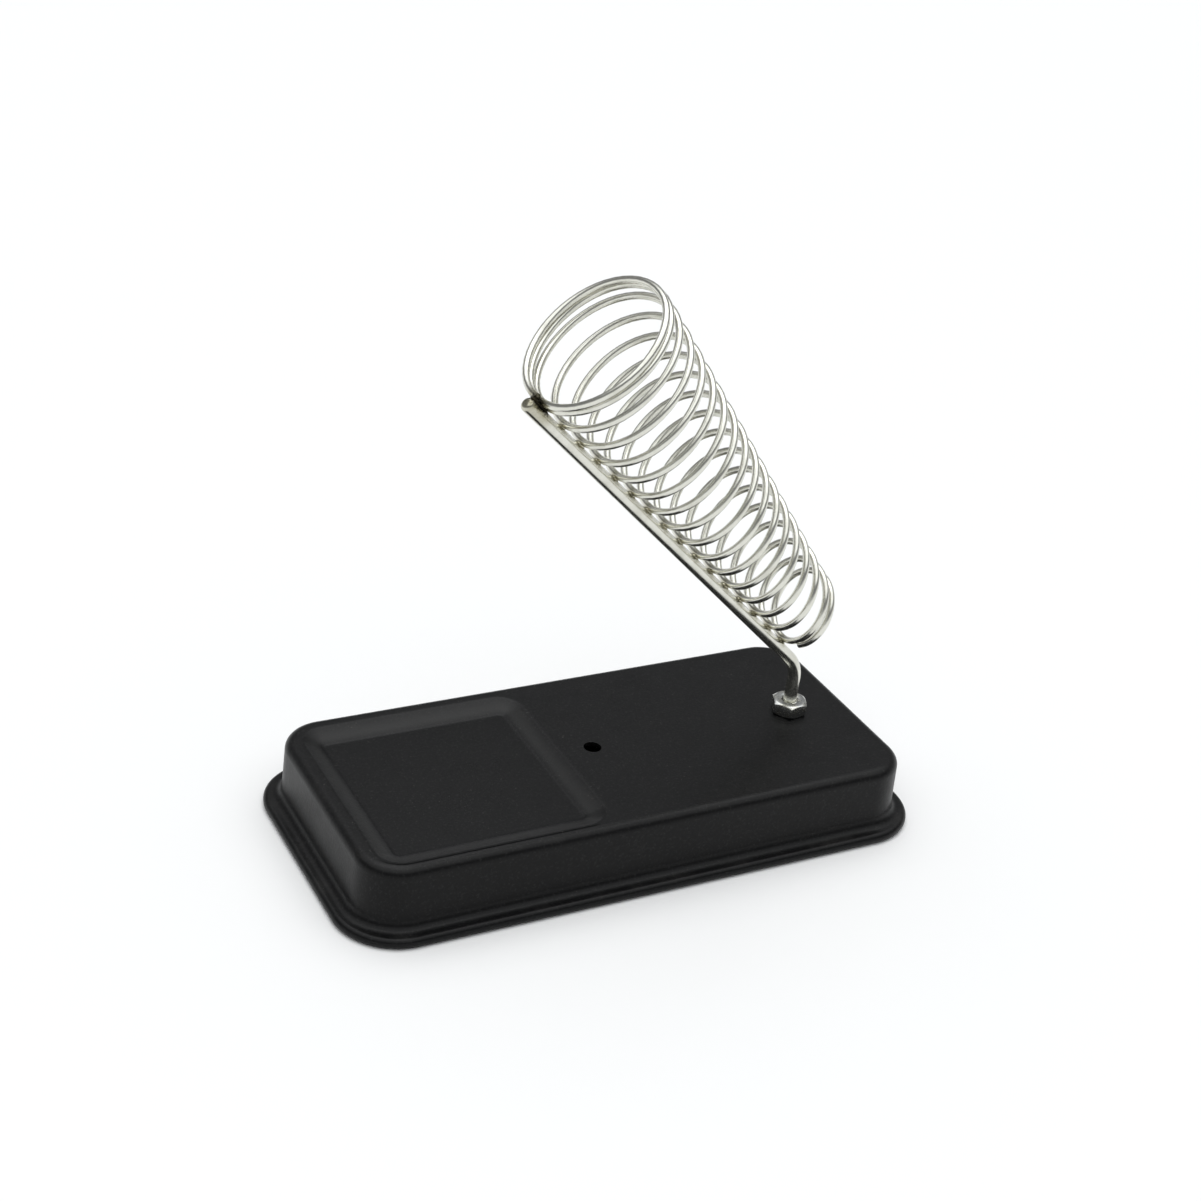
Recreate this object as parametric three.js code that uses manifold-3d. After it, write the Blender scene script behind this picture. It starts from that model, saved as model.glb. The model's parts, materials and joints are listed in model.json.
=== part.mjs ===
// A soldering iron stand: a pressed steel pan with a tray, a bent rod clamped upright in it by two
// nuts, and a tapered wire coil welded along the rod. Millimetres, +Z up. The origin is on the
// bench at the middle of the pan, +X is towards the rod and -X towards the tray.
import * as THREE from "three";
import { mergeVertices } from "three/addons/utils/BufferGeometryUtils.js";
import Module from "manifold-3d";

const wasm = await Module();
wasm.setup();

// Pan: outside of the rolled rim, sheet thickness, and the section from bead to top edge.
const panLength = 160;
const panWidth = 77.4;
const panHeight = 19;
const panCorner = 16;
const sheet = 1;
const beadRadius = 1.4;
const hemWidth = 1;
const footInset = 4.5;
const footFillet = 1.2;
const wallDraft = 0.4;
const edgeRadius = 2.5;
const cornerSteps = 8;

// Tray: the recess for a sponge, its top outline, depth and sloping sides.
const trayX = -40.7;
const trayY = -0.4;
const trayLength = 60;
const trayWidth = 59.6;
const trayDepth = 2.2;
const traySlope = 4.8;
const trayCorner = 6.6;
const dishMargin = 0.3;

// Holes in the plate.
const rodX = 56.9;
const rodHole = 4.8;
const spareHoleX = -1.8;
const spareHole = 4.6;

// Rod: shank, thread, the bend above the plate and the slope of the arm.
const rodDiameter = 3.5;
const threadDiameter = 4;
const threadBottom = 8.5;
const rodCornerHeight = 33.3;
const rodBendRadius = 10;
const armSlope = THREE.MathUtils.degToRad(43.8);
const armSwivel = THREE.MathUtils.degToRad(5.5);
const rodReach = 126.1;

// Coil: wire, turns, and where it starts and ends along the sloping rod.
const wireDiameter = 1.8;
const weldGap = 0.3;
const turnGap = 0.25;
const mouthTurns = 2;
const openTurns = 15;
const endTurns = 1;
const mouthReach = 126.4;
const endReach = 9.1;
const mouthRadius = 17.9;
const endRadius = 9.8;
const mouthLean = THREE.MathUtils.degToRad(4.4);
const endLean = THREE.MathUtils.degToRad(-19);
const coilSkew = THREE.MathUtils.degToRad(-3.5);
const stepsPerTurn = 24;

// Clamp hardware.
const fitGap = 0.3;
const nutFlats = 8.6;
const nutHeight = 3.6;
const nutChamfer = 0.6;
const nutFaceInset = 0.1;
const washerDiameter = 10;
const washerHeight = 1;
const lockWasherDiameter = 7.2;
const lockWasherHeight = 1;
const lockWasherSplit = 0.12;
const boreDiameter = threadDiameter + 2 * fitGap;

const blackPaint = new THREE.MeshStandardMaterial({ color: 0x1c1c1d, roughness: 0.4, metalness: 0 });
const brightNickel = new THREE.MeshStandardMaterial({ color: 0xdad9d0, roughness: 0.2, metalness: 1 });
const zincPlate = new THREE.MeshStandardMaterial({ color: 0xc9cbcc, roughness: 0.3, metalness: 1 });

function solidOf(geometry) {
  const plain = geometry.clone();
  plain.deleteAttribute("normal");
  plain.deleteAttribute("uv");
  const merged = mergeVertices(plain, 1e-4);
  return new wasm.Manifold(
    new wasm.Mesh({
      numProp: 3,
      vertProperties: new Float32Array(merged.attributes.position.array),
      triVerts: new Uint32Array(merged.index.array),
    }),
  );
}

function geometryOf(solid) {
  const mesh = solid.getMesh();
  const geometry = new THREE.BufferGeometry();
  geometry.setAttribute("position", new THREE.BufferAttribute(mesh.vertProperties, 3));
  geometry.setIndex(new THREE.BufferAttribute(mesh.triVerts, 1));
  geometry.computeVertexNormals();
  return geometry;
}

function namedMesh(name, geometry, material) {
  const mesh = new THREE.Mesh(geometry, material);
  mesh.name = name;
  return mesh;
}

// Points round a rounded rectangle, anticlockwise seen from above.
function roundedLoop(length, width, corner, height) {
  const points = [];
  const signs = [[1, 1], [-1, 1], [-1, -1], [1, -1]];
  signs.forEach(([sideX, sideY], quarter) => {
    for (let step = 0; step <= cornerSteps; step++) {
      const angle = (Math.PI / 2) * (quarter + step / cornerSteps);
      const x = sideX * (length / 2 - corner) + corner * Math.cos(angle);
      const y = sideY * (width / 2 - corner) + corner * Math.sin(angle);
      points.push(new THREE.Vector3(x, y, height));
    }
  });
  return points;
}

// Joins loops with the same number of points into a skin. Closed: the last loop meets the first.
function skinOf(loops, closed) {
  const count = loops[0].length;
  const positions = loops.flat().flatMap((point) => point.toArray());
  const index = [];
  const bands = closed ? loops.length : loops.length - 1;
  for (let band = 0; band < bands; band++) {
    const low = band * count;
    const high = ((band + 1) % loops.length) * count;
    for (let i = 0; i < count; i++) {
      const next = (i + 1) % count;
      index.push(low + i, low + next, high + next, low + i, high + next, high + i);
    }
  }
  if (!closed) {
    const top = (loops.length - 1) * count;
    for (let i = 1; i < count - 1; i++) {
      index.push(0, i + 1, i, top, top + i, top + i + 1);
    }
  }
  const geometry = new THREE.BufferGeometry();
  geometry.setAttribute("position", new THREE.Float32BufferAttribute(positions, 3));
  geometry.setIndex(index);
  return geometry;
}

// Points of an arc in the section plane, as [inset, height] pairs.
function arcPoints(inset, height, radius, from, to, steps) {
  return Array.from({ length: steps + 1 }, (_, step) => {
    const angle = THREE.MathUtils.degToRad(from + ((to - from) * step) / steps);
    return [inset + radius * Math.cos(angle), height + radius * Math.sin(angle)];
  });
}

// The pan's edge section: rolled bead with its hem on the bench, foot fillet, wall and top edge.
// It runs up the outside and comes back down the inside, one sheet thickness away.
function edgeSection() {
  const shoulder = 2 * beadRadius;
  const wallTop = footInset + wallDraft;
  const edgeInset = wallTop + edgeRadius;
  const edgeHeight = panHeight - edgeRadius;
  const outside = [
    [beadRadius + hemWidth, 0],
    ...arcPoints(beadRadius, beadRadius, beadRadius, 270, 90, 8),
    ...arcPoints(footInset - footFillet, shoulder + footFillet, footFillet, -90, 0, 4),
    ...arcPoints(edgeInset, edgeHeight, edgeRadius, 180, 90, 6),
  ];
  const inside = [
    ...arcPoints(edgeInset, edgeHeight, edgeRadius - sheet, 90, 180, 6),
    ...arcPoints(footInset - footFillet, shoulder + footFillet, footFillet + sheet, 0, -90, 4),
    ...arcPoints(beadRadius, beadRadius, beadRadius - sheet, 90, 270, 4),
    [beadRadius + hemWidth, sheet],
  ];
  return [...outside, ...inside];
}

function trayLoop(grow, inset, height) {
  const loop = roundedLoop(
    trayLength + 2 * (grow - inset),
    trayWidth + 2 * (grow - inset),
    trayCorner + grow - inset,
    height,
  );
  return loop.map((point) => point.add(new THREE.Vector3(trayX, trayY, 0)));
}

function drill(x, diameter) {
  const cutter = new THREE.CylinderGeometry(diameter / 2, diameter / 2, 4 * sheet, 32);
  cutter.rotateX(Math.PI / 2);
  cutter.translate(x, 0, panHeight - sheet / 2);
  return solidOf(cutter);
}

function basePan() {
  const section = edgeSection().map(([inset, height]) =>
    roundedLoop(panLength - 2 * inset, panWidth - 2 * inset, panCorner - inset, height),
  );
  const plateInset = footInset + wallDraft + edgeRadius;
  const plateLoop = (height) =>
    roundedLoop(panLength - 2 * plateInset, panWidth - 2 * plateInset, panCorner - plateInset, height);
  const plate = skinOf([plateLoop(panHeight - sheet), plateLoop(panHeight)], false);
  const floor = panHeight - trayDepth;
  const dish = skinOf(
    [trayLoop(dishMargin, traySlope, floor - sheet), trayLoop(dishMargin, 0, panHeight - sheet)],
    false,
  );
  const overcut = 0.5;
  const slopeRate = traySlope / trayDepth;
  const recess = skinOf(
    [trayLoop(0, traySlope, floor), trayLoop(overcut * slopeRate, 0, panHeight + overcut)],
    false,
  );
  const pressed = solidOf(skinOf(section, true)).add(solidOf(plate)).add(solidOf(dish));
  const cut = pressed
    .subtract(solidOf(recess))
    .subtract(drill(rodX, rodHole))
    .subtract(drill(spareHoleX, spareHole));
  return namedMesh("base_pan", geometryOf(cut), blackPaint);
}

// Directions in the arm's own frame, whose Z axis is the threaded end's axis.
const alongRod = new THREE.Vector3(-Math.cos(armSlope), 0, Math.sin(armSlope));
const aboveRod = new THREE.Vector3(Math.sin(armSlope), 0, Math.cos(armSlope));
const acrossRod = new THREE.Vector3(0, 1, 0);
const rodCorner = new THREE.Vector3(0, 0, rodCornerHeight);

// The rod's centre line: up the threaded end, round the bend and along the slope.
class RodLine extends THREE.Curve {
  constructor(bottom, reach) {
    super();
    this.turn = Math.PI / 2 - armSlope;
    this.tangent = rodBendRadius * Math.tan(this.turn / 2);
    this.rise = rodCornerHeight - this.tangent - bottom;
    this.bend = rodBendRadius * this.turn;
    this.run = reach - this.tangent;
    this.bottom = bottom;
  }
  getPoint(t, target = new THREE.Vector3()) {
    const travel = t * (this.rise + this.bend + this.run);
    if (travel <= this.rise) return target.set(0, 0, this.bottom + travel);
    if (travel <= this.rise + this.bend) {
      const angle = (travel - this.rise) / rodBendRadius;
      const height = this.bottom + this.rise + rodBendRadius * Math.sin(angle);
      return target.set(rodBendRadius * (Math.cos(angle) - 1), 0, height);
    }
    const reach = this.tangent + travel - this.rise - this.bend;
    return target.copy(rodCorner).addScaledVector(alongRod, reach);
  }
}

// The coil's centre line: closed turns at the mouth, open turns that taper, closed turn at the end.
class CoilLine extends THREE.Curve {
  getPoint(t, target = new THREE.Vector3()) {
    const closedPitch = wireDiameter + turnGap;
    const turns = mouthTurns + openTurns + endTurns;
    const turn = t * turns;
    const open = THREE.MathUtils.clamp(turn - mouthTurns, 0, openTurns);
    const part = open / openTurns;
    const openSpan = mouthReach - endReach - (mouthTurns + endTurns) * closedPitch;
    const reach = mouthReach - (turn - open) * closedPitch - part * openSpan;
    const radius = THREE.MathUtils.lerp(mouthRadius, endRadius, part);
    const lean = THREE.MathUtils.lerp(mouthLean, endLean, part);
    const angle = 2 * Math.PI * turn;
    const outward = radius * (1 - Math.cos(angle));
    const sideways = radius * Math.sin(angle);
    return target
      .copy(rodCorner)
      .addScaledVector(alongRod, reach - outward * Math.sin(lean) + sideways * Math.sin(coilSkew))
      .addScaledVector(aboveRod, rodDiameter / 2 + weldGap + wireDiameter / 2 + outward * Math.cos(lean))
      .addScaledVector(acrossRod, sideways * Math.cos(coilSkew));
  }
}

function roundBar(line, diameter, sides, steps) {
  const corners = Array.from({ length: sides }, (_, i) => {
    const angle = (2 * Math.PI * i) / sides;
    return new THREE.Vector2((diameter / 2) * Math.cos(angle), (diameter / 2) * Math.sin(angle));
  });
  const outline = new THREE.Shape(corners);
  return new THREE.ExtrudeGeometry(outline, { steps, extrudePath: line, bevelEnabled: false });
}

function supportRod() {
  const shank = roundBar(new RodLine(threadBottom, rodReach), rodDiameter, 12, 80);
  const threadTop = panHeight + fitGap + nutHeight;
  const threadLength = threadTop - threadBottom;
  const thread = new THREE.CylinderGeometry(threadDiameter / 2, threadDiameter / 2, threadLength, 20);
  thread.rotateX(Math.PI / 2);
  thread.translate(0, 0, (threadTop + threadBottom) / 2);
  const tip = new THREE.SphereGeometry(rodDiameter / 2, 12, 8);
  const tipCentre = rodCorner.clone().addScaledVector(alongRod, rodReach);
  tip.translate(tipCentre.x, tipCentre.y, tipCentre.z);
  const solid = solidOf(shank).add(solidOf(thread)).add(solidOf(tip));
  return namedMesh("support_rod", geometryOf(solid), brightNickel);
}

function coilHolder() {
  const steps = stepsPerTurn * (mouthTurns + openTurns + endTurns);
  return namedMesh("coil_holder", roundBar(new CoilLine(), wireDiameter, 6, steps), brightNickel);
}

function hexNut(name, bottom) {
  const cornerRadius = nutFlats / 2 / Math.cos(Math.PI / 6);
  const faceRadius = nutFlats / 2 - nutFaceInset;
  const prism = new THREE.CylinderGeometry(cornerRadius, cornerRadius, nutHeight, 6);
  prism.rotateX(Math.PI / 2);
  prism.rotateZ(Math.PI / 6);
  prism.translate(0, 0, nutHeight / 2);
  const profile = [
    [0, 0],
    [faceRadius, 0],
    [cornerRadius, nutChamfer],
    [cornerRadius, nutHeight - nutChamfer],
    [faceRadius, nutHeight],
    [0, nutHeight],
  ].map(([radius, height]) => new THREE.Vector2(radius, height));
  const turned = new THREE.LatheGeometry(profile, 36);
  turned.rotateX(Math.PI / 2);
  const bore = new THREE.CylinderGeometry(boreDiameter / 2, boreDiameter / 2, 3 * nutHeight, 24);
  bore.rotateX(Math.PI / 2);
  const solid = solidOf(prism).intersect(solidOf(turned)).subtract(solidOf(bore));
  const mesh = namedMesh(name, geometryOf(solid), zincPlate);
  mesh.position.z = bottom;
  return mesh;
}

function flatRing(name, diameter, height, bottom, split) {
  const outer = diameter / 2;
  const inner = boreDiameter / 2;
  const ring = new THREE.Shape();
  ring.absarc(0, 0, outer, split, 2 * Math.PI - split, false);
  if (split > 0) {
    ring.absarc(0, 0, inner, 2 * Math.PI - split, split, true);
  } else {
    ring.holes.push(new THREE.Path().absarc(0, 0, inner, 0, 2 * Math.PI, true));
  }
  const geometry = new THREE.ExtrudeGeometry(ring, { depth: height, bevelEnabled: false, curveSegments: 28 });
  const mesh = namedMesh(name, geometryOf(solidOf(geometry)), zincPlate);
  mesh.position.z = bottom;
  return mesh;
}

function swivellingArm() {
  const arm = new THREE.Group();
  arm.position.x = rodX;
  arm.rotation.z = armSwivel;
  const washerBottom = panHeight - sheet - fitGap - washerHeight;
  const lockBottom = washerBottom - fitGap - lockWasherHeight;
  const lowerNutBottom = lockBottom - fitGap - nutHeight;
  arm.add(supportRod());
  arm.add(coilHolder());
  arm.add(hexNut("upper_nut", panHeight + fitGap));
  arm.add(flatRing("under_washer", washerDiameter, washerHeight, washerBottom, 0));
  arm.add(flatRing("lock_washer", lockWasherDiameter, lockWasherHeight, lockBottom, lockWasherSplit));
  arm.add(hexNut("lower_nut", lowerNutBottom));
  return arm;
}

const stand = new THREE.Group();
stand.add(basePan());
stand.add(swivellingArm());

export default stand;
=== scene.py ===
import json
import math
import random

import bmesh
import bpy
from mathutils import Matrix, Vector


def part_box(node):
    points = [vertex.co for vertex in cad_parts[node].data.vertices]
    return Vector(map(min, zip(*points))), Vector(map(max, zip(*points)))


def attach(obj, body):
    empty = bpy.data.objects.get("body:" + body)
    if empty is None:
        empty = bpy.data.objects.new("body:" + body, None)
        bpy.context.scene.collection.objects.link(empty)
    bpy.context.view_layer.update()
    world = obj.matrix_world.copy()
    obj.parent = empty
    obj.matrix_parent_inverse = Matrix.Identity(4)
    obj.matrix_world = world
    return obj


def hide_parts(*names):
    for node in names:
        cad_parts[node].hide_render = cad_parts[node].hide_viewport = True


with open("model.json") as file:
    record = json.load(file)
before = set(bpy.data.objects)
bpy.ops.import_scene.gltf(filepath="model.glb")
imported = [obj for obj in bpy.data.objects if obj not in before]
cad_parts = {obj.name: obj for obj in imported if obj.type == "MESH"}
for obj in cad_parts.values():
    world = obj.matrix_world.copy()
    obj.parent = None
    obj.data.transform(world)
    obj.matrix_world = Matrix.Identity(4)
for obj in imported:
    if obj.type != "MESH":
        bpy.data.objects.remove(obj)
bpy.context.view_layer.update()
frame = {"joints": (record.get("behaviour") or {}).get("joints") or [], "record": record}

mm = 0.001
samePlace = 0.001 * mm  # points closer than this are one point
bpy.context.scene.view_settings.view_transform = "Standard"
swivelAxis = Vector(frame["joints"][0]["pos_m"])  # the plate's top, on the threaded end's centre line
mountPoints = {mount["name"]: Vector(mount["pos_m"]) for mount in frame["record"]["mounts"]}
panLow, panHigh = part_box("base_pan")


def selectOnly(piece):
    bpy.ops.object.select_all(action="DESELECT")
    piece.select_set(True)
    bpy.context.view_layer.objects.active = piece


def startEditing(piece):
    selectOnly(piece)
    bpy.ops.object.mode_set(mode="EDIT")
    bpy.ops.mesh.select_all(action="DESELECT")


def stopEditing():
    bpy.ops.object.mode_set(mode="OBJECT")


def newest(name):
    piece = bpy.context.active_object
    piece.name = name
    piece.data.name = name
    return piece


def pick(kind, test):
    # selects the vertices, edges or faces of the edited mesh that pass a test
    bpy.ops.mesh.select_mode(type=kind)
    bpy.ops.mesh.select_all(action="DESELECT")
    edited = bmesh.from_edit_mesh(bpy.context.edit_object.data)
    for part in {"VERT": edited.verts, "EDGE": edited.edges, "FACE": edited.faces}[kind]:
        if test(part):
            part.select_set(True)
    edited.select_flush_mode()
    bmesh.update_edit_mesh(bpy.context.edit_object.data)


def insetAlong(steps):
    # steps are (how far in, how far up) from one ring of the pressing to the next
    for inward, upward in steps:
        bpy.ops.mesh.inset(thickness=inward, depth=upward, use_even_offset=True)


def arcSteps(radius, start, end, count):
    # the same pairs for an arc, whose angles are in degrees from level
    angles = [math.radians(start + (end - start) * i / count) for i in range(count + 1)]
    points = [(radius * math.cos(angle), radius * math.sin(angle)) for angle in angles]
    return [(b[0] - a[0], b[1] - a[1]) for a, b in zip(points, points[1:])]


def applied(piece, kind, **settings):
    selectOnly(piece)
    modifier = piece.modifiers.new(kind.title(), kind)
    for name, value in settings.items():
        setattr(modifier, name, value)
    bpy.ops.object.modifier_apply(modifier=modifier.name)


def shadeSmooth(piece, degrees):
    selectOnly(piece)
    bpy.ops.object.shade_smooth_by_angle(angle=math.radians(degrees))


def drawOutline(name, points):
    # a chain of edges in the XZ plane, drawn by extruding one vertex from point to point
    bpy.ops.object.select_all(action="DESELECT")
    bpy.ops.mesh.primitive_plane_add(size=mm, location=(0, 0, 0))
    piece = newest(name)
    bpy.ops.object.mode_set(mode="EDIT")
    bpy.ops.mesh.select_mode(type="VERT")
    bpy.ops.mesh.select_all(action="SELECT")
    bpy.ops.mesh.merge(type="CENTER")
    bpy.ops.transform.translate(value=(points[0][0], 0, points[0][1]))
    for last, point in zip(points, points[1:]):
        move = (point[0] - last[0], 0, point[1] - last[1])
        bpy.ops.mesh.extrude_region_move(TRANSFORM_OT_translate={"value": move})
    return piece


def turnedRing(name, points, steps):
    # a closed outline turned round the Z axis
    piece = drawOutline(name, [*points, points[0]])
    bpy.ops.mesh.select_all(action="SELECT")
    bpy.ops.mesh.remove_doubles(threshold=samePlace)
    bpy.ops.mesh.select_all(action="SELECT")
    bpy.ops.mesh.spin(steps=steps, angle=2 * math.pi, center=(0, 0, 0), axis=(0, 0, 1))
    bpy.ops.mesh.select_all(action="SELECT")
    bpy.ops.mesh.remove_doubles(threshold=samePlace)
    bpy.ops.mesh.normals_make_consistent(inside=False)
    stopEditing()
    return piece


def seatPiece(piece, body, node, finish):
    # places in the mesh, then the finish, the body and the part that it stands for
    selectOnly(piece)
    bpy.ops.object.transform_apply(location=True, rotation=True, scale=True)
    piece.data.materials.clear()
    piece.data.materials.append(finish)
    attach(piece, body)
    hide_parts(node)


def standOnArm(piece, height):
    # the arm's pieces are made round the Z axis, then turned and moved to the threaded end
    piece.rotation_euler = (0, 0, arm["swivel"])
    piece.location = (swivelAxis.x, swivelAxis.y, height)


class Signal:
    # a socket of one finish, so that sums and products on it read as plain sums
    def __init__(self, finish, socket):
        self.finish = finish
        self.socket = socket

    def math(self, operation, *values):
        return self.finish.node("ShaderNodeMath", {"operation": operation}, dict(enumerate(values)))

    def __add__(self, other):
        return self.math("ADD", self, other)

    def __radd__(self, other):
        return self.math("ADD", other, self)

    def __sub__(self, other):
        return self.math("SUBTRACT", self, other)

    def __rsub__(self, other):
        return self.math("SUBTRACT", other, self)

    def __mul__(self, other):
        return self.math("MULTIPLY", self, other)

    def __rmul__(self, other):
        return self.math("MULTIPLY", other, self)


class Finish:
    # the nodes of one material, or of the world
    def __init__(self, owner):
        self.owner = owner
        owner.use_nodes = True
        self.tree = owner.node_tree
        self.tree.nodes.clear()

    def node(self, kind, settings=None, sockets=None, output=0):
        made = self.tree.nodes.new(kind)
        for name, value in (settings or {}).items():
            setattr(made, name, value)
        for name, value in (sockets or {}).items():
            if isinstance(value, Signal):
                self.tree.links.new(value.socket, made.inputs[name])
            else:
                made.inputs[name].default_value = value
        return Signal(self, made.outputs[output] if made.outputs else None)

    def place(self):
        return self.node("ShaderNodeTexCoord", output="Object")

    def alongPiece(self):
        return self.node("ShaderNodeUVMap", {"uv_map": "UVMap"})

    def stretched(self, place, scale, rotation=(0, 0, 0), location=(0, 0, 0)):
        turned = {"Vector": place, "Scale": scale, "Rotation": rotation, "Location": location}
        return self.node("ShaderNodeMapping", sockets=turned)

    def split(self, place, axis):
        return self.node("ShaderNodeSeparateXYZ", sockets={"Vector": place}, output=axis)

    def noise(self, place, size, detail=2.0, roughness=0.5):
        # size is the width of one patch in metres
        sockets = {"Vector": place, "Scale": 1 / size, "Detail": detail, "Roughness": roughness}
        return self.node("ShaderNodeTexNoise", sockets=sockets)

    def step(self, value, low, high):
        # 0 below low, 1 above high, smooth between
        sockets = {"Value": value, "From Min": low, "From Max": high}
        return self.node("ShaderNodeMapRange", {"interpolation_type": "SMOOTHSTEP"}, sockets)

    def mixColour(self, share, first, second):
        # 0, 6, 7 and output 2 are the Mix node's factor and colour sockets
        return self.node("ShaderNodeMix", {"data_type": "RGBA"}, {0: share, 6: first, 7: second}, output=2)

    def bump(self, height, depth, strength=1.0, under=None):
        sockets = {"Height": height, "Distance": depth, "Strength": strength}
        if under:
            sockets["Normal"] = under
        return self.node("ShaderNodeBump", sockets=sockets)

    def finished(self, sockets):
        shader = self.node("ShaderNodeBsdfPrincipled", sockets=sockets)
        self.node("ShaderNodeOutputMaterial", sockets={"Surface": shader})
        return self.owner


pan = {
    "corner": 16 * mm,
    "cornerSegments": 16,
    "sheet": 1 * mm,
    "crest": 0.1 * mm,  # the flat at the bead's widest
    "bead": 1.4 * mm,
    "hem": 1 * mm,
    "foot": 4.5 * mm,
    "footFillet": 2.5 * mm,
    "draft": 0.4 * mm,
    "edgeRadius": 2.5 * mm,
    "margin": 0.5 * mm,  # flat ring kept beside each bend of the plate
    "trayLength": 60 * mm,
    "trayWidth": 59.6 * mm,
    "trayCorner": 6.6 * mm,
    "traySlope": 5.2 * mm,
    "trayCrease": 2.4 * mm,
    "rodHole": 4.8 * mm,
    "spareHole": 4.6 * mm,
    "spareHoleX": -1.8 * mm,
    "holeSegments": 48,
    "smoothBelow": 32,  # degrees between faces that are shaded as one
}


def pressEdge():
    # from the bead's widest ring, up over the flange and the wall to the plate
    shoulder = 2 * pan["bead"]
    wallBottom = shoulder + pan["footFillet"]
    wallTop = panHigh.z - pan["edgeRadius"]
    roll = pan["bead"] - pan["crest"] / 2
    insetAlong(arcSteps(roll, 180, 90, 6))
    insetAlong([(pan["foot"] - pan["footFillet"] - roll, 0)])
    insetAlong(arcSteps(pan["footFillet"], -90, 0, 5))
    insetAlong([(pan["draft"], wallTop - wallBottom)])
    insetAlong(arcSteps(pan["edgeRadius"], 180, 90, 8))
    insetAlong([(pan["margin"], 0)])
    bpy.ops.mesh.delete(type="ONLY_FACE")


def rollHem():
    insetAlong(arcSteps(pan["bead"] - pan["crest"] / 2, 180, 90, 6))
    insetAlong([(pan["hem"], 0)])
    bpy.ops.mesh.delete(type="ONLY_FACE")


def pressTray():
    centre = Vector((mountPoints["tray_floor"].x, mountPoints["tray_floor"].y, panHigh.z))
    depth = panHigh.z - mountPoints["tray_floor"].z
    pitch = math.atan2(depth, pan["traySlope"])
    tangent = pan["trayCrease"] * math.tan(pitch / 2)
    grow = 2 * (tangent + pan["margin"])
    length = pan["trayLength"] + grow
    squeeze = (pan["trayWidth"] + grow) / length
    bpy.ops.mesh.primitive_plane_add(size=length, location=centre)
    bpy.ops.transform.resize(value=(1, squeeze, 1), center_override=centre)
    corner = pan["trayCorner"] + grow / 2
    bpy.ops.mesh.bevel(offset=corner, segments=10, affect="VERTICES", profile=0.5, clamp_overlap=False)
    bpy.ops.mesh.select_mode(type="FACE")
    straight = math.hypot(depth, pan["traySlope"]) - 2 * tangent
    tilt = math.degrees(pitch)
    insetAlong([(pan["margin"], 0)])
    insetAlong(arcSteps(pan["trayCrease"], 90, 90 - tilt, 5))
    insetAlong([(straight * math.cos(pitch), -straight * math.sin(pitch))])
    insetAlong(arcSteps(pan["trayCrease"], 270 - tilt, 270, 5))
    insetAlong([(pan["margin"], 0)])


def punchHole(x, diameter):
    place = (x, 0, panHigh.z)
    bpy.ops.mesh.primitive_circle_add(vertices=pan["holeSegments"], radius=diameter / 2, location=place)


def onPlate(point):
    return abs(point.z - panHigh.z) < samePlace


def closePlate():
    # the flat of the plate, between its edge, the tray and the two holes
    pick("EDGE", lambda edge: len(edge.link_faces) < 2 and all(onPlate(v.co) for v in edge.verts))
    bpy.ops.mesh.fill(use_beauty=True)
    pick("FACE", lambda face: face.normal.z < -0.9 and onPlate(face.calc_center_median()))
    bpy.ops.mesh.flip_normals()


def makePan():
    size = panHigh - panLow
    bpy.ops.object.select_all(action="DESELECT")
    widest = (size.x, size.y, pan["crest"])
    bpy.ops.mesh.primitive_cube_add(size=1, location=(0, 0, pan["bead"]), scale=widest)
    piece = newest("basePan")
    bpy.ops.object.transform_apply(location=True, rotation=True, scale=True)
    startEditing(piece)
    pick("EDGE", lambda edge: abs(edge.verts[0].co.z - edge.verts[1].co.z) > pan["crest"] / 2)
    bpy.ops.mesh.bevel(offset=pan["corner"], segments=pan["cornerSegments"], profile=0.5, clamp_overlap=False)
    pick("FACE", lambda face: face.normal.z > 0.9)
    pressEdge()
    pick("FACE", lambda face: face.normal.z < -0.9 and len(face.verts) > 4)
    rollHem()
    pressTray()
    punchHole(swivelAxis.x, pan["rodHole"])
    punchHole(pan["spareHoleX"], pan["spareHole"])
    closePlate()
    stopEditing()
    evenly = {"use_even_offset": True, "use_quality_normals": True}
    applied(piece, "SOLIDIFY", thickness=pan["sheet"], offset=-1, **evenly)
    shadeSmooth(piece, pan["smoothBelow"])
    return piece


# the arm is made round the Z axis, then turned to where it stands
arm = {
    "swivel": math.radians(5.5),
    "slope": math.radians(43.8),
    "cornerHeight": 33.3 * mm,
}
alongRod = Vector((-math.cos(arm["slope"]), 0, math.sin(arm["slope"])))
aboveRod = Vector((math.sin(arm["slope"]), 0, math.cos(arm["slope"])))
acrossRod = Vector((0, 1, 0))
rodCorner = Vector((0, 0, arm["cornerHeight"]))

rod = {
    "diameter": 3.5 * mm,
    "sides": 40,
    "shankBottom": 20.4 * mm,
    "bendRadius": 10 * mm,
    "bendSteps": 20,
    "slopeSteps": 120,
    "reach": 127.8 * mm,  # to the cut end, along the slope
    "tipRound": 1 * mm,
    "threadBottom": 8.5 * mm,
    "threadTop": 22.4 * mm,
    "threadDiameter": 4 * mm,
    "threadCore": 3.2 * mm,
    "threadPitch": 0.7 * mm,
    "threadSteps": 36,
    "threadPoint": 0.37 * mm,
    "blankSides": 48,
    "blankAllowance": 0.02 * mm,  # keeps the pointing cut off the crests
    "smoothBelow": 35,
}


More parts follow.
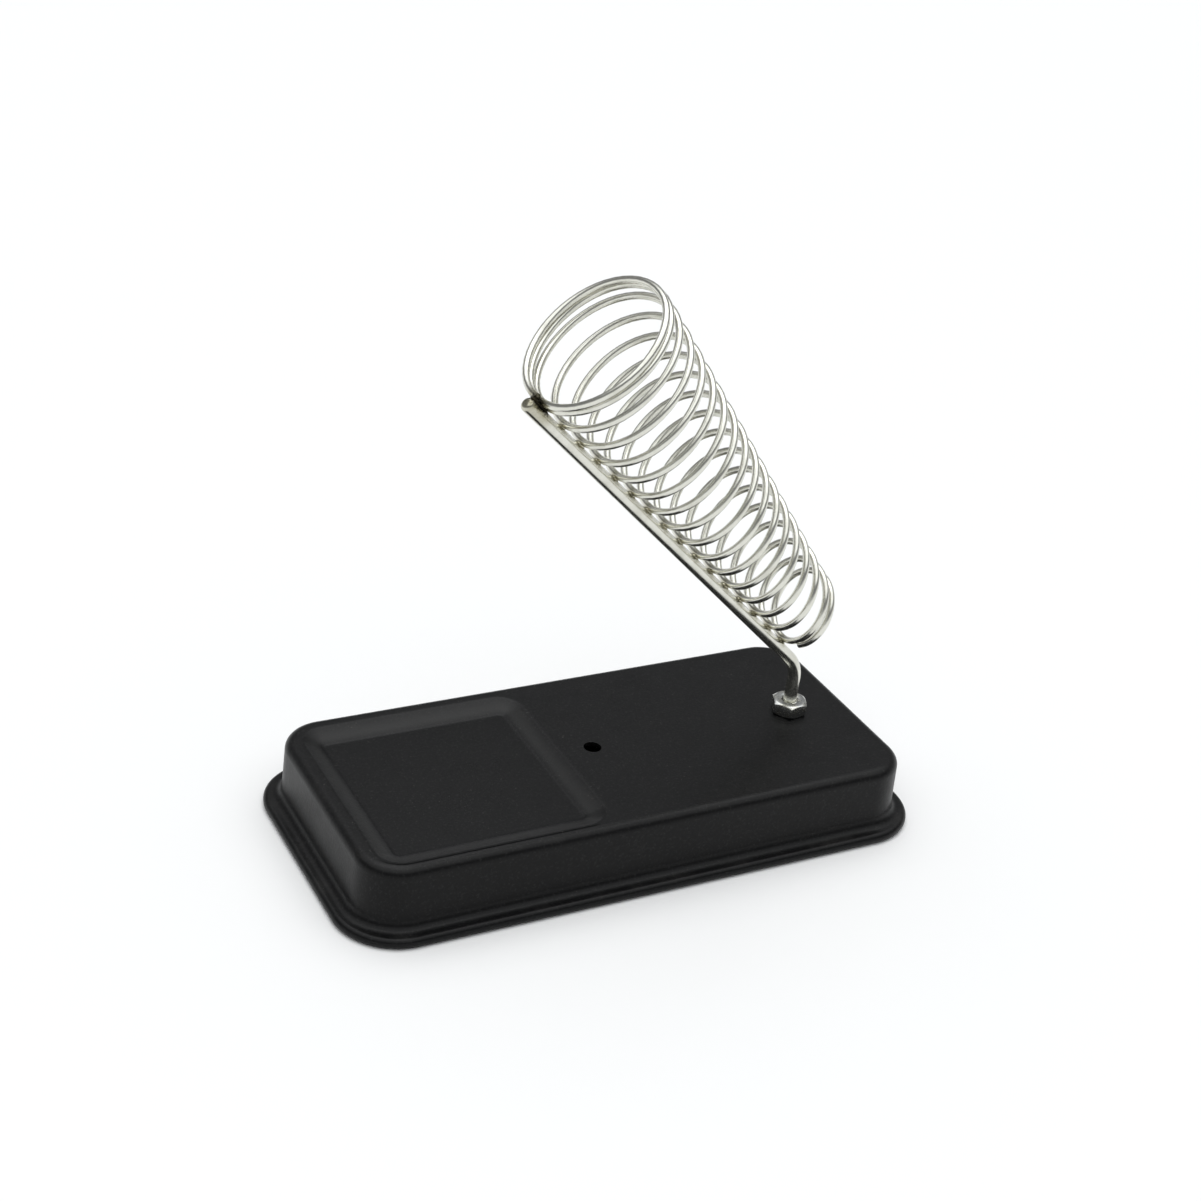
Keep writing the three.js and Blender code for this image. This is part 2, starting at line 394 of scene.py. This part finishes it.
def makeShank():
    turn = math.pi / 2 - arm["slope"]
    bendStart = arm["cornerHeight"] - rod["bendRadius"] * math.tan(turn / 2)
    straight = rod["reach"] - rod["bendRadius"] * math.tan(turn / 2) - rod["tipRound"]
    radius = rod["diameter"] / 2
    bottom = (0, 0, rod["shankBottom"])
    bpy.ops.object.select_all(action="DESELECT")
    bpy.ops.mesh.primitive_circle_add(vertices=rod["sides"], radius=radius, fill_type="NGON", location=bottom)
    piece = newest("supportRod")
    bpy.ops.object.transform_apply(location=True, rotation=True, scale=True)
    startEditing(piece)
    bpy.ops.mesh.select_all(action="SELECT")
    rise = (0, 0, bendStart - rod["shankBottom"])
    bpy.ops.mesh.extrude_region_move(TRANSFORM_OT_translate={"value": rise})
    centre = (-rod["bendRadius"], 0, bendStart)
    bpy.ops.mesh.spin(steps=rod["bendSteps"], angle=turn, center=centre, axis=(0, 1, 0))
    for ring in range(rod["slopeSteps"]):  # rings for the heat marks to follow
        move = alongRod * straight / rod["slopeSteps"]
        bpy.ops.mesh.extrude_region_move(TRANSFORM_OT_translate={"value": move})
    insetAlong(arcSteps(rod["tipRound"], 180, 90, 6))
    bpy.ops.mesh.select_all(action="SELECT")
    bpy.ops.mesh.remove_doubles(threshold=samePlace)
    bpy.ops.mesh.normals_make_consistent(inside=False)
    stopEditing()
    return piece


def makeThread():
    # one pitch of the profile screwed upwards, then cut flat at both ends and pointed at the bottom
    pitch = rod["threadPitch"]
    core = rod["threadCore"] / 2
    crest = rod["threadDiameter"] / 2
    start = rod["threadBottom"] - 2 * pitch
    turns = math.ceil((rod["threadTop"] - start) / pitch) + 2
    shares = [(core, 0), (core, 0.25), (crest, 0.56), (crest, 0.69), (core, 1)]
    piece = drawOutline("thread", [(radius, start + share * pitch) for radius, share in shares])
    stopEditing()
    steps = rod["threadSteps"]
    applied(piece, "SCREW", axis="Z", screw_offset=pitch, iterations=turns, steps=steps, render_steps=steps)
    startEditing(piece)
    bpy.ops.mesh.select_all(action="SELECT")
    bpy.ops.mesh.remove_doubles(threshold=0.005 * mm)
    for height, upward in ((rod["threadBottom"], False), (rod["threadTop"], True)):
        bpy.ops.mesh.select_all(action="SELECT")
        bpy.ops.mesh.bisect(plane_co=(0, 0, height), plane_no=(0, 0, 1), use_fill=True, threshold=0.001 * mm,
                            clear_outer=upward, clear_inner=not upward)
    bpy.ops.mesh.select_all(action="SELECT")
    bpy.ops.mesh.normals_make_consistent(inside=False)
    stopEditing()
    return piece


def makeRod():
    shank = makeShank()
    thread = makeThread()
    middle = (rod["threadBottom"] + rod["threadTop"]) / 2
    length = rod["threadTop"] - rod["threadBottom"]
    radius = rod["threadDiameter"] / 2 + rod["blankAllowance"]
    bpy.ops.object.select_all(action="DESELECT")
    blank = {"vertices": rod["blankSides"], "radius": radius, "depth": length}
    bpy.ops.mesh.primitive_cylinder_add(location=(0, 0, middle), **blank)
    point = newest("threadPoint")
    startEditing(point)
    pick("FACE", lambda face: face.normal.z < -0.9)
    bpy.ops.mesh.bevel(offset=rod["threadPoint"], segments=1)
    stopEditing()
    applied(thread, "BOOLEAN", operation="INTERSECT", object=point, solver="EXACT")
    applied(shank, "BOOLEAN", operation="UNION", object=thread, solver="EXACT")
    bpy.data.objects.remove(point)
    bpy.data.objects.remove(thread)
    shadeSmooth(shank, rod["smoothBelow"])
    return shank


coil = {
    "wire": 1.8 * mm,
    "closedPitch": 1.84 * mm,
    "mouthTurns": 2,
    "openTurns": 15,
    "endTurns": 1,
    "endShort": 0.08,  # the last turn stops this much of a turn before the rod
    "mouthReach": 126.4 * mm,
    "endReach": 9.1 * mm,
    "mouthRadius": 17.9 * mm,
    "endRadius": 9.8 * mm,
    "mouthLean": math.radians(4.4),
    "endLean": math.radians(-19),
    "skew": math.radians(-3.5),
    "stepsPerTurn": 48,
    "section": 5,  # the bevel setting that gives the wire 14 sides
    "smoothBelow": 60,
}


def coilTurns():
    return coil["mouthTurns"] + coil["openTurns"] + coil["endTurns"]


def coilPoint(turn):
    closed = coil["mouthTurns"] + coil["endTurns"]
    opened = min(max(turn - coil["mouthTurns"], 0), coil["openTurns"])
    part = opened / coil["openTurns"]
    openSpan = coil["mouthReach"] - coil["endReach"] - closed * coil["closedPitch"]
    reach = coil["mouthReach"] - (turn - opened) * coil["closedPitch"] - part * openSpan
    radius = coil["mouthRadius"] + part * (coil["endRadius"] - coil["mouthRadius"])
    lean = coil["mouthLean"] + part * (coil["endLean"] - coil["mouthLean"])
    angle = 2 * math.pi * turn
    outward = radius * (1 - math.cos(angle))
    sideways = radius * math.sin(angle)
    forward = reach - outward * math.sin(lean) + sideways * math.sin(coil["skew"])
    height = (rod["diameter"] + coil["wire"]) / 2 + outward * math.cos(lean)
    across = sideways * math.cos(coil["skew"])
    return rodCorner + alongRod * forward + aboveRod * height + acrossRod * across


def makeWire():
    steps = round((coilTurns() - coil["endShort"]) * coil["stepsPerTurn"])
    line = bpy.data.curves.new("coilHolder", "CURVE")
    line.dimensions = "3D"
    line.bevel_depth = coil["wire"] / 2
    line.bevel_resolution = coil["section"]
    line.use_fill_caps = True
    spline = line.splines.new("POLY")
    spline.points.add(steps)
    for step, point in enumerate(spline.points):
        point.co = (*coilPoint(step / coil["stepsPerTurn"]), 1)
    piece = bpy.data.objects.new("coilHolder", line)
    bpy.context.scene.collection.objects.link(piece)
    selectOnly(piece)
    bpy.ops.object.convert(target="MESH")
    piece = bpy.context.active_object
    startEditing(piece)
    bpy.ops.mesh.select_all(action="SELECT")
    bpy.ops.mesh.remove_doubles(threshold=samePlace)
    bpy.ops.mesh.normals_make_consistent(inside=False)
    stopEditing()
    return piece


weld = {
    "length": 2.3 * mm,  # along the rod
    "width": 2.1 * mm,
    "height": 1.15 * mm,
    "segments": 20,
    "rings": 10,
    "seed": 4,
    "uneven": 0.16,
    "twist": 0.5,  # radians to either side
    "sink": (1.18, 1.05, 0.7),  # how the half that meets the rod spreads
    "smoothBelow": 80,
    "heat": 2.6 * mm,  # how far the browning reaches
    "mouthHeat": 5 * mm,
}


def makeWeld():
    # one weld nugget, lying in the corner between the wire and the rod
    bpy.ops.object.select_all(action="DESELECT")
    ball = {"segments": weld["segments"], "ring_count": weld["rings"], "radius": 0.5}
    size = (weld["length"], weld["width"], weld["height"])
    bpy.ops.mesh.primitive_uv_sphere_add(location=(0, 0, 0), scale=size, **ball)
    piece = newest("weldNugget")
    bpy.ops.object.transform_apply(location=True, rotation=True, scale=True)
    startEditing(piece)
    pick("FACE", lambda face: face.calc_center_median().z < 0)
    bpy.ops.transform.resize(value=weld["sink"], center_override=(0, 0, 0))
    stopEditing()
    shadeSmooth(piece, weld["smoothBelow"])
    return piece


def makeCoil():
    wire = makeWire()
    nugget = makeWeld()
    chance = random.Random(weld["seed"])
    slopeTurn = Matrix((-alongRod, acrossRod, aboveRod)).transposed().to_4x4()
    copies = []
    for turn in range(coilTurns()):
        copy = nugget.copy()
        copy.data = nugget.data.copy()
        bpy.context.scene.collection.objects.link(copy)
        foot = coilPoint(turn) - aboveRod * (coil["wire"] / 2)
        sizes = [1 + weld["uneven"] * chance.uniform(-1, 1) for side in range(3)]
        twist = Matrix.Rotation(chance.uniform(-weld["twist"], weld["twist"]), 4, "Z")
        copy.matrix_world = Matrix.Translation(foot) @ slopeTurn @ twist @ Matrix.Diagonal((*sizes, 1))
        copies.append(copy)
    bpy.data.objects.remove(nugget)
    selectOnly(wire)
    for copy in copies:
        copy.select_set(True)
    bpy.ops.object.join()
    shadeSmooth(wire, coil["smoothBelow"])
    return wire


nut = {
    "flats": 8.6 * mm,
    "height": 3.6 * mm,
    "gap": 0.3 * mm,
    "faceShare": 0.94,  # the chamfer circle against the flats
    "chamferSlope": math.radians(30),
    "bore": 4.1 * mm,
    "countersink": 0.35 * mm,
    "cornerRound": 0.15 * mm,
    "steps": 96,
    "edgeRound": 0.035 * mm,
    "edgeAbove": math.radians(24),
    "smoothBelow": 28,
    "lift": 0.02 * mm,  # keeps the top nut off the plate
}


def makeNut(name):
    # a hexagonal bar trimmed to a turned blank with chamfered faces and a countersunk bore
    corner = nut["flats"] / 2 / math.cos(math.pi / 6)
    face = nut["flats"] / 2 * nut["faceShare"]
    chamfer = (corner - face) * math.tan(nut["chamferSlope"])
    bore = nut["bore"] / 2
    sink = nut["countersink"]
    top = nut["height"]
    outside = [(face, 0), (corner, chamfer), (corner, top - chamfer), (face, top)]
    inside = [(bore + sink, top), (bore, top - sink), (bore, sink), (bore + sink, 0)]
    blank = turnedRing(name, [*outside, *inside], nut["steps"])
    bpy.ops.object.select_all(action="DESELECT")
    stock = {"vertices": 6, "radius": corner, "depth": 2 * top}
    turn = (0, 0, math.pi / 6)
    bpy.ops.mesh.primitive_cylinder_add(location=(0, 0, top / 2), rotation=turn, **stock)
    bar = newest("hexBar")
    startEditing(bar)
    pick("EDGE", lambda edge: abs(edge.verts[0].co.z - edge.verts[1].co.z) > top)
    bpy.ops.mesh.bevel(offset=nut["cornerRound"], segments=3, profile=0.5)
    stopEditing()
    applied(blank, "BOOLEAN", operation="INTERSECT", object=bar, solver="EXACT")
    bpy.data.objects.remove(bar)
    sharp = {"limit_method": "ANGLE", "angle_limit": nut["edgeAbove"]}
    applied(blank, "BEVEL", width=nut["edgeRound"], segments=2, **sharp)
    shadeSmooth(blank, nut["smoothBelow"])
    return blank


washer = {
    "diameter": 10 * mm,
    "height": 1 * mm,
    "bore": 4.4 * mm,
    "roll": 0.25 * mm,
    "steps": 80,
    "rollSteps": 5,
    "smoothBelow": 30,
}


def rolledEdge(x, z, start):
    # a quarter circle about a point of the outline
    count = washer["rollSteps"]
    angles = [math.radians(start + 90 * i / count) for i in range(count + 1)]
    roll = washer["roll"]
    return [(x + roll * math.cos(angle), z + roll * math.sin(angle)) for angle in angles]


def makeWasher():
    # stamped: the top edges are rolled over, the bottom edges are sharp
    outer = washer["diameter"] / 2
    inner = washer["bore"] / 2
    roll = washer["roll"]
    top = washer["height"]
    outerRoll = rolledEdge(outer - roll, top - roll, 0)
    innerRoll = rolledEdge(inner + roll, top - roll, 90)
    piece = turnedRing("underWasher", [(inner, 0), (outer, 0), *outerRoll, *innerRoll], washer["steps"])
    shadeSmooth(piece, washer["smoothBelow"])
    return piece


lockWasher = {
    "inner": 4.3 * mm,
    "outer": 7.2 * mm,
    "height": 1 * mm,
    "spring": 0.12 * mm,  # how far one end stands above the other
    "split": math.radians(12),
    "slant": math.radians(24),
    "edge": 0.12 * mm,
    "steps": 60,
    "smoothBelow": 30,
}


def onRay(point, radial):
    return abs(point.xy.angle_signed(radial.xy)) < 0.01


def makeLockWasher():
    inner = lockWasher["inner"] / 2
    outer = lockWasher["outer"] / 2
    edge = lockWasher["edge"]
    top = lockWasher["height"] - lockWasher["spring"]
    corners = [(inner + edge, 0), (outer - edge, 0), (outer, edge), (outer, top - edge)]
    corners += [(outer - edge, top), (inner + edge, top), (inner, top - edge), (inner, edge)]
    piece = drawOutline("lockWasher", [*corners, corners[0]])
    bpy.ops.mesh.select_all(action="SELECT")
    bpy.ops.mesh.remove_doubles(threshold=samePlace)
    stopEditing()
    steps = lockWasher["steps"]
    sweep = 2 * math.pi - lockWasher["split"]
    coiled = {"angle": sweep, "screw_offset": lockWasher["spring"]}
    applied(piece, "SCREW", axis="Z", steps=steps, render_steps=steps, **coiled)
    startEditing(piece)
    for end in (0, sweep):
        radial = Vector((math.cos(end), math.sin(end), 0))
        middle = radial * (inner + outer) / 2 + Vector((0, 0, top / 2 + lockWasher["spring"] * end / sweep))
        axes = (radial, Vector((-radial.y, radial.x, 0)), (0, 0, 1))
        pick("EDGE", lambda edge: len(edge.link_faces) == 1 and all(onRay(v.co, radial) for v in edge.verts))
        bpy.ops.mesh.edge_face_add()
        bpy.ops.transform.rotate(value=lockWasher["slant"], orient_axis="X", orient_type="GLOBAL",
                                 orient_matrix=axes, center_override=middle)
    bpy.ops.mesh.select_all(action="SELECT")
    bpy.ops.mesh.normals_make_consistent(inside=False)
    stopEditing()
    shadeSmooth(piece, lockWasher["smoothBelow"])
    return piece


enamel = {
    "colour": (0.003, 0.003, 0.0032, 1),
    "worn": (0.022, 0.021, 0.02, 1),
    "dust": (0.11, 0.105, 0.10, 1),
    "grain": (0.02, 0.02, 0.02, 1),
    "grainSize": 0.7 * mm,
    "paintedSlopeHighlight": (0.014, 0.014, 0.0138, 1),  # painted highlight: the pressed slopes of the tray are given a lighter colour, as if lit
    "slopes": (16.85 * mm, 17.6 * mm, 18.98 * mm),
    "grainShare": 0.6,
    "dustShare": 0.4,
    "roughness": 0.34,
    "cloudSmear": 0.12,  # how far each one moves the roughness
    "streakSmear": 0.08,
    "dustSmear": 0.3,
    "gritSmear": 0.2,
    "specular": 0.17,
    "peel": 0.8 * mm,
    "peelDepth": 0.032 * mm,
    "grit": 0.22 * mm,
    "gritShare": 0.25,  # of the peel's depth
    "sag": 14 * mm,
    "sagDepth": 0.05 * mm,
    "cloud": 9 * mm,
    "speck": 0.55 * mm,
    "streak": 1.4 * mm,
    "streakTurn": (0, 0, 0.5),
    "beadWear": (2.25 * mm, 2.78 * mm, 3.4 * mm),  # heights at which the wear starts, peaks and ends
    "edgeWear": (17.6 * mm, 18.5 * mm, 18.99 * mm),
    "beadWorn": 0.6,
    "edgeWorn": 0.35,
}


def band(finish, height, heights):
    # 1 at the middle height, 0 at the outer two
    low, middle, high = heights
    return finish.step(height, low, middle) * (1 - finish.step(height, middle, high))


def blackEnamel():
    # sprayed enamel: orange peel over slow waves of the sheet, thinner on the edges, with some dust; the
    # tray's upward slopes carry a painted highlight
    finish = Finish(bpy.data.materials.new("blackEnamel"))
    place = finish.place()
    height = finish.split(place, "Z")
    peel = finish.noise(place, enamel["peel"], detail=2)
    grit = finish.noise(place, enamel["grit"], detail=1)
    sag = finish.noise(place, enamel["sag"], detail=1)
    cloud = finish.noise(place, enamel["cloud"], detail=4, roughness=0.6)
    speck = finish.noise(place, enamel["speck"], detail=1)
    wiped = finish.stretched(place, (0.25, 1, 1), rotation=enamel["streakTurn"])
    streak = finish.noise(wiped, enamel["streak"], detail=5)
    facing = finish.split(finish.node("ShaderNodeTexCoord", output="Normal"), "Z")
    upward = finish.step(facing, 0.6, 0.9)
    beadWear = band(finish, height, enamel["beadWear"]) * enamel["beadWorn"]
    edgeWear = band(finish, height, enamel["edgeWear"]) * enamel["edgeWorn"]
    wear = beadWear + edgeWear
    rubbed = wear * finish.step(cloud, 0.45, 0.75)
    dust = finish.step(speck, 0.7, 0.78) * upward * finish.step(cloud, 0.35, 0.7)
    grain = finish.step(finish.noise(place, enamel["grainSize"], detail=3, roughness=0.7), 0.5, 0.75)
    colour = finish.mixColour(grain * enamel["grainShare"], enamel["colour"], enamel["grain"])
    # painted highlight: the tray's upward-facing slopes are mixed towards a lighter colour
    colour = finish.mixColour(band(finish, height, enamel["slopes"]) * upward, colour, enamel["paintedSlopeHighlight"])
    colour = finish.mixColour(rubbed, colour, enamel["worn"])
    colour = finish.mixColour(dust * enamel["dustShare"], colour, enamel["dust"])
    smears = (cloud - 0.5) * enamel["cloudSmear"] + (streak - 0.5) * enamel["streakSmear"]
    specks = dust * enamel["dustSmear"] + (grit - 0.5) * enamel["gritSmear"]
    roughness = enamel["roughness"] + smears + specks
    slow = finish.bump(sag, enamel["sagDepth"])
    skin = finish.bump(peel + grit * enamel["gritShare"], enamel["peelDepth"], under=slow)
    return finish.finished({"Base Color": colour, "Roughness": roughness, "Normal": skin,
                            "Specular IOR Level": enamel["specular"]})


nickel = {
    "colour": (0.74, 0.735, 0.67, 1),
    "dull": (0.53, 0.52, 0.45, 1),
    "browned": (0.30, 0.275, 0.17, 1),
    "scorched": (0.028, 0.024, 0.014, 1),
    "wireRoughness": 0.21,
    "rodRoughness": 0.23,
    "drawn": 0.16 * mm,
    "drawnDepth": 0.0018 * mm,
    "dullShare": 0.5,
    "pitShare": 0.3,  # of the lines' depth
    "bloomSmear": 0.16,
    "lineSmear": 0.12,
    "scorchSmear": 0.2,
    "bloom": 5 * mm,
    "pit": 0.35 * mm,
    "scorch": 0.6 * mm,
}


def drawnNickel(name, lines, roughness):
    # bright plating over drawn wire: lines along the wire, a faint bloom and browned welds
    finish = Finish(bpy.data.materials.new(name))
    place = finish.place()
    along = lines(finish, place)
    bloom = finish.noise(place, nickel["bloom"], detail=4, roughness=0.6)
    pits = finish.noise(place, nickel["pit"], detail=2)
    heat = finish.node("ShaderNodeAttribute", {"attribute_name": "weldHeat"}, output="Fac")
    mottle = finish.noise(place, nickel["scorch"], detail=3)
    browned = finish.step(heat, 0, 0.6) * (mottle * 0.6 + 0.4)
    scorched = finish.step(heat + (mottle - 0.5) * 0.5, 0.55, 0.8)
    clouded = finish.step(bloom, 0.4, 0.75) * nickel["dullShare"]
    pitted = finish.step(pits, 0.68, 0.76) * nickel["dullShare"]
    colour = finish.mixColour(clouded, nickel["colour"], nickel["dull"])
    colour = finish.mixColour(pitted, colour, nickel["dull"])
    colour = finish.mixColour(browned, colour, nickel["browned"])
    colour = finish.mixColour(scorched, colour, nickel["scorched"])
    smears = (bloom - 0.5) * nickel["bloomSmear"] + (along - 0.5) * nickel["lineSmear"]
    roughness = roughness + smears + scorched * nickel["scorchSmear"]
    surface = finish.bump(along + pits * nickel["pitShare"], nickel["drawnDepth"])
    return finish.finished({"Base Color": colour, "Metallic": 1.0, "Roughness": roughness, "Normal": surface})


def linesAlongWire(finish, place):
    # the wire's own map runs along it in U and round it in V
    return finish.noise(finish.stretched(finish.alongPiece(), (60, 9, 1)), 1, detail=4, roughness=0.65)


def linesAlongRod(finish, place):
    turned = finish.stretched(place, (1, 1, 1), rotation=(0, 0, -arm["swivel"]))
    sloped = finish.stretched(turned, (0.04, 1, 1), rotation=(0, -arm["slope"], 0))
    return finish.noise(sloped, nickel["drawn"], detail=3, roughness=0.65)


zinc = {
    "colour": (0.60, 0.61, 0.60, 1),
    "yellowed": (0.50, 0.48, 0.38, 1),
    "roughness": 0.24,
    "ring": 0.11 * mm,
    "ringDepth": 0.004 * mm,
    "mottle": 1.3 * mm,
    "nick": 0.3 * mm,
    "nicked": (0.25, 0.25, 0.25, 1),
    "mottleShare": 0.6,
    "nickShare": 0.4,
    "mottleSmear": 0.2,
    "ringSmear": 0.12,
    "springColour": (0.34, 0.34, 0.33, 1),
    "springRoughness": 0.34,
}


def turnedZinc(name, colour, roughness):
    # zinc plate over turned steel: fine rings round the bore, a mottled bloom
    finish = Finish(bpy.data.materials.new(name))
    place = finish.place()
    centred = finish.stretched(place, (1, 1, 1), location=(-swivelAxis.x, -swivelAxis.y, 0))
    flat = finish.node("ShaderNodeVectorMath", {"operation": "MULTIPLY"}, {0: centred, 1: (1, 1, 0)})
    radius = finish.node("ShaderNodeVectorMath", {"operation": "LENGTH"}, {0: flat}, output="Value")
    height = finish.split(place, "Z")
    rings = finish.noise(finish.node("ShaderNodeCombineXYZ", sockets={"X": radius, "Y": height * 0.6}),
                         zinc["ring"], detail=2)
    mottle = finish.noise(place, zinc["mottle"], detail=4, roughness=0.6)
    nicks = finish.noise(place, zinc["nick"], detail=2)
    tint = finish.mixColour(finish.step(mottle, 0.4, 0.7) * zinc["mottleShare"], colour, zinc["yellowed"])
    nicked = finish.step(nicks, 0.66, 0.75) * zinc["nickShare"]
    tint = finish.mixColour(nicked, tint, zinc["nicked"])
    rough = roughness + (mottle - 0.5) * zinc["mottleSmear"] + (rings - 0.5) * zinc["ringSmear"]
    surface = finish.bump(rings + nicks * zinc["nickShare"], zinc["ringDepth"])
    return finish.finished({"Base Color": tint, "Metallic": 1.0, "Roughness": rough, "Normal": surface})


def markHeat(piece):
    # how near each point is to a weld, for the browning there
    feet = [coilPoint(turn) - aboveRod * (coil["wire"] / 2) for turn in range(coilTurns())]
    reach = [weld["mouthHeat"] if turn <= coil["mouthTurns"] else weld["heat"] for turn in range(coilTurns())]
    heat = piece.data.attributes.new("weldHeat", "FLOAT", "POINT")
    for vertex in piece.data.vertices:
        near = max(1 - (vertex.co - foot).length / far for foot, far in zip(feet, reach))
        heat.data[vertex.index].value = max(0, near)


print("pressing the pan")
seatPiece(makePan(), "base", "base_pan", blackEnamel())

print("bending the rod")
rodNickel = drawnNickel("rodNickel", linesAlongRod, nickel["rodRoughness"])
supportRod = makeRod()
markHeat(supportRod)
standOnArm(supportRod, 0)
seatPiece(supportRod, "arm", "support_rod", rodNickel)

print("winding the coil")
wireNickel = drawnNickel("wireNickel", linesAlongWire, nickel["wireRoughness"])
coilHolder = makeCoil()
markHeat(coilHolder)
standOnArm(coilHolder, 0)
seatPiece(coilHolder, "arm", "coil_holder", wireNickel)

print("clamping with nuts and washers")
brightZinc = turnedZinc("brightZinc", zinc["colour"], zinc["roughness"])
springZinc = turnedZinc("springZinc", zinc["springColour"], zinc["springRoughness"])
washerBottom = panHigh.z - pan["sheet"] - nut["gap"] - washer["height"]
lockBottom = washerBottom - nut["gap"] - lockWasher["height"]
upperNut = makeNut("upperNut")
standOnArm(upperNut, panHigh.z + nut["lift"])
seatPiece(upperNut, "arm", "upper_nut", brightZinc)
underWasher = makeWasher()
standOnArm(underWasher, washerBottom)
seatPiece(underWasher, "arm", "under_washer", brightZinc)
lockRing = makeLockWasher()
standOnArm(lockRing, lockBottom)
seatPiece(lockRing, "arm", "lock_washer", springZinc)
lowerNut = makeNut("lowerNut")
standOnArm(lowerNut, lockBottom - nut["gap"] - nut["height"])
seatPiece(lowerNut, "arm", "lower_nut", brightZinc)


studio = {
    "floorSize": 60,
    "floorColour": (0.86, 0.86, 0.855, 1),
    "paperTooth": 1.5 * mm,
    "toothDepth": 0.01 * mm,
    "floorRoughness": 0.85,
    "worldColour": (0.97, 0.985, 1.0, 1),
    "wallLight": 0.78,  # at the level of the floor
    "gapLight": 0.20,  # between the walls and the ceiling
    "roofLight": 1.4,
    "wallEnd": 0.34,  # sines of the elevations
    "roofStart": 0.55,
    "roofEnd": 0.7,
    "lampPower": 0.8,
    "lampSpread": math.radians(50),  # how much of the sky the lamp fills
    "lampAzimuth": math.radians(150),
    "lampElevation": math.radians(76),
}


def makeFloor():
    bpy.ops.object.select_all(action="DESELECT")
    bpy.ops.mesh.primitive_plane_add(size=studio["floorSize"], location=(0, 0, panLow.z))
    floor = newest("studioFloor")
    finish = Finish(bpy.data.materials.new("studioPaper"))
    tooth = finish.noise(finish.place(), studio["paperTooth"], detail=3)
    surface = finish.bump(tooth, studio["toothDepth"])
    paper = {"Base Color": studio["floorColour"], "Roughness": studio["floorRoughness"], "Normal": surface}
    floor.data.materials.append(finish.finished(paper))


def makeWorld():
    # pale walls, a dimmer gap above them, and a lit ceiling
    finish = Finish(bpy.data.worlds.new("studioWorld"))
    rise = finish.split(finish.node("ShaderNodeTexCoord", output="Generated"), "Z")
    gap = studio["gapLight"]
    wallShare = 1 - finish.step(rise, 0, studio["wallEnd"])
    roofShare = finish.step(rise, studio["roofStart"], studio["roofEnd"])
    walls = wallShare * (studio["wallLight"] - gap)
    roof = roofShare * (studio["roofLight"] - gap)
    lit = {"Color": studio["worldColour"], "Strength": walls + roof + gap}
    sky = finish.node("ShaderNodeBackground", sockets=lit)
    finish.node("ShaderNodeOutputWorld", sockets={"Surface": sky})
    bpy.context.scene.world = finish.owner


def awayTowards(azimuth, elevation):
    # the direction from the stand to something at these angles
    level = math.cos(elevation)
    return Vector((math.sin(azimuth) * level, -math.cos(azimuth) * level, math.sin(elevation)))


def makeLamp():
    # one broad soft lamp that falls the same everywhere
    away = awayTowards(studio["lampAzimuth"], studio["lampElevation"])
    lamp = bpy.data.lights.new("softLamp", "SUN")
    lamp.energy = studio["lampPower"]
    lamp.angle = studio["lampSpread"]
    holder = bpy.data.objects.new("softLamp", lamp)
    bpy.context.scene.collection.objects.link(holder)
    holder.location = away
    holder.rotation_mode = "QUATERNION"
    holder.rotation_quaternion = (-away).to_track_quat("-Z", "Y")


camera = {
    "target": (-2.63 * mm, 3.52 * mm, 60 * mm),
    "azimuth": math.radians(-30.33),
    "elevation": math.radians(28.71),
    "roll": math.radians(6.97),
    "distance": 508.6 * mm,
    "lens": 62.03,
    "sensor": 36,
    "nearest": 10 * mm,
}


def makeCamera():
    made = bpy.data.objects.new("camera", bpy.data.cameras.new("camera"))
    bpy.context.scene.collection.objects.link(made)
    away = awayTowards(camera["azimuth"], camera["elevation"])
    place = Matrix.Translation(Vector(camera["target"]) + away * camera["distance"])
    turn = Matrix.Rotation(camera["azimuth"], 4, "Z")
    tilt = Matrix.Rotation(math.pi / 2 - camera["elevation"], 4, "X")
    roll = Matrix.Rotation(camera["roll"], 4, "Z")
    made.matrix_world = place @ turn @ tilt @ roll
    made.data.lens = camera["lens"]
    made.data.sensor_width = camera["sensor"]
    made.data.clip_start = camera["nearest"]
    bpy.context.scene.camera = made


print("setting up the studio")
makeFloor()
makeWorld()
makeLamp()
makeCamera()
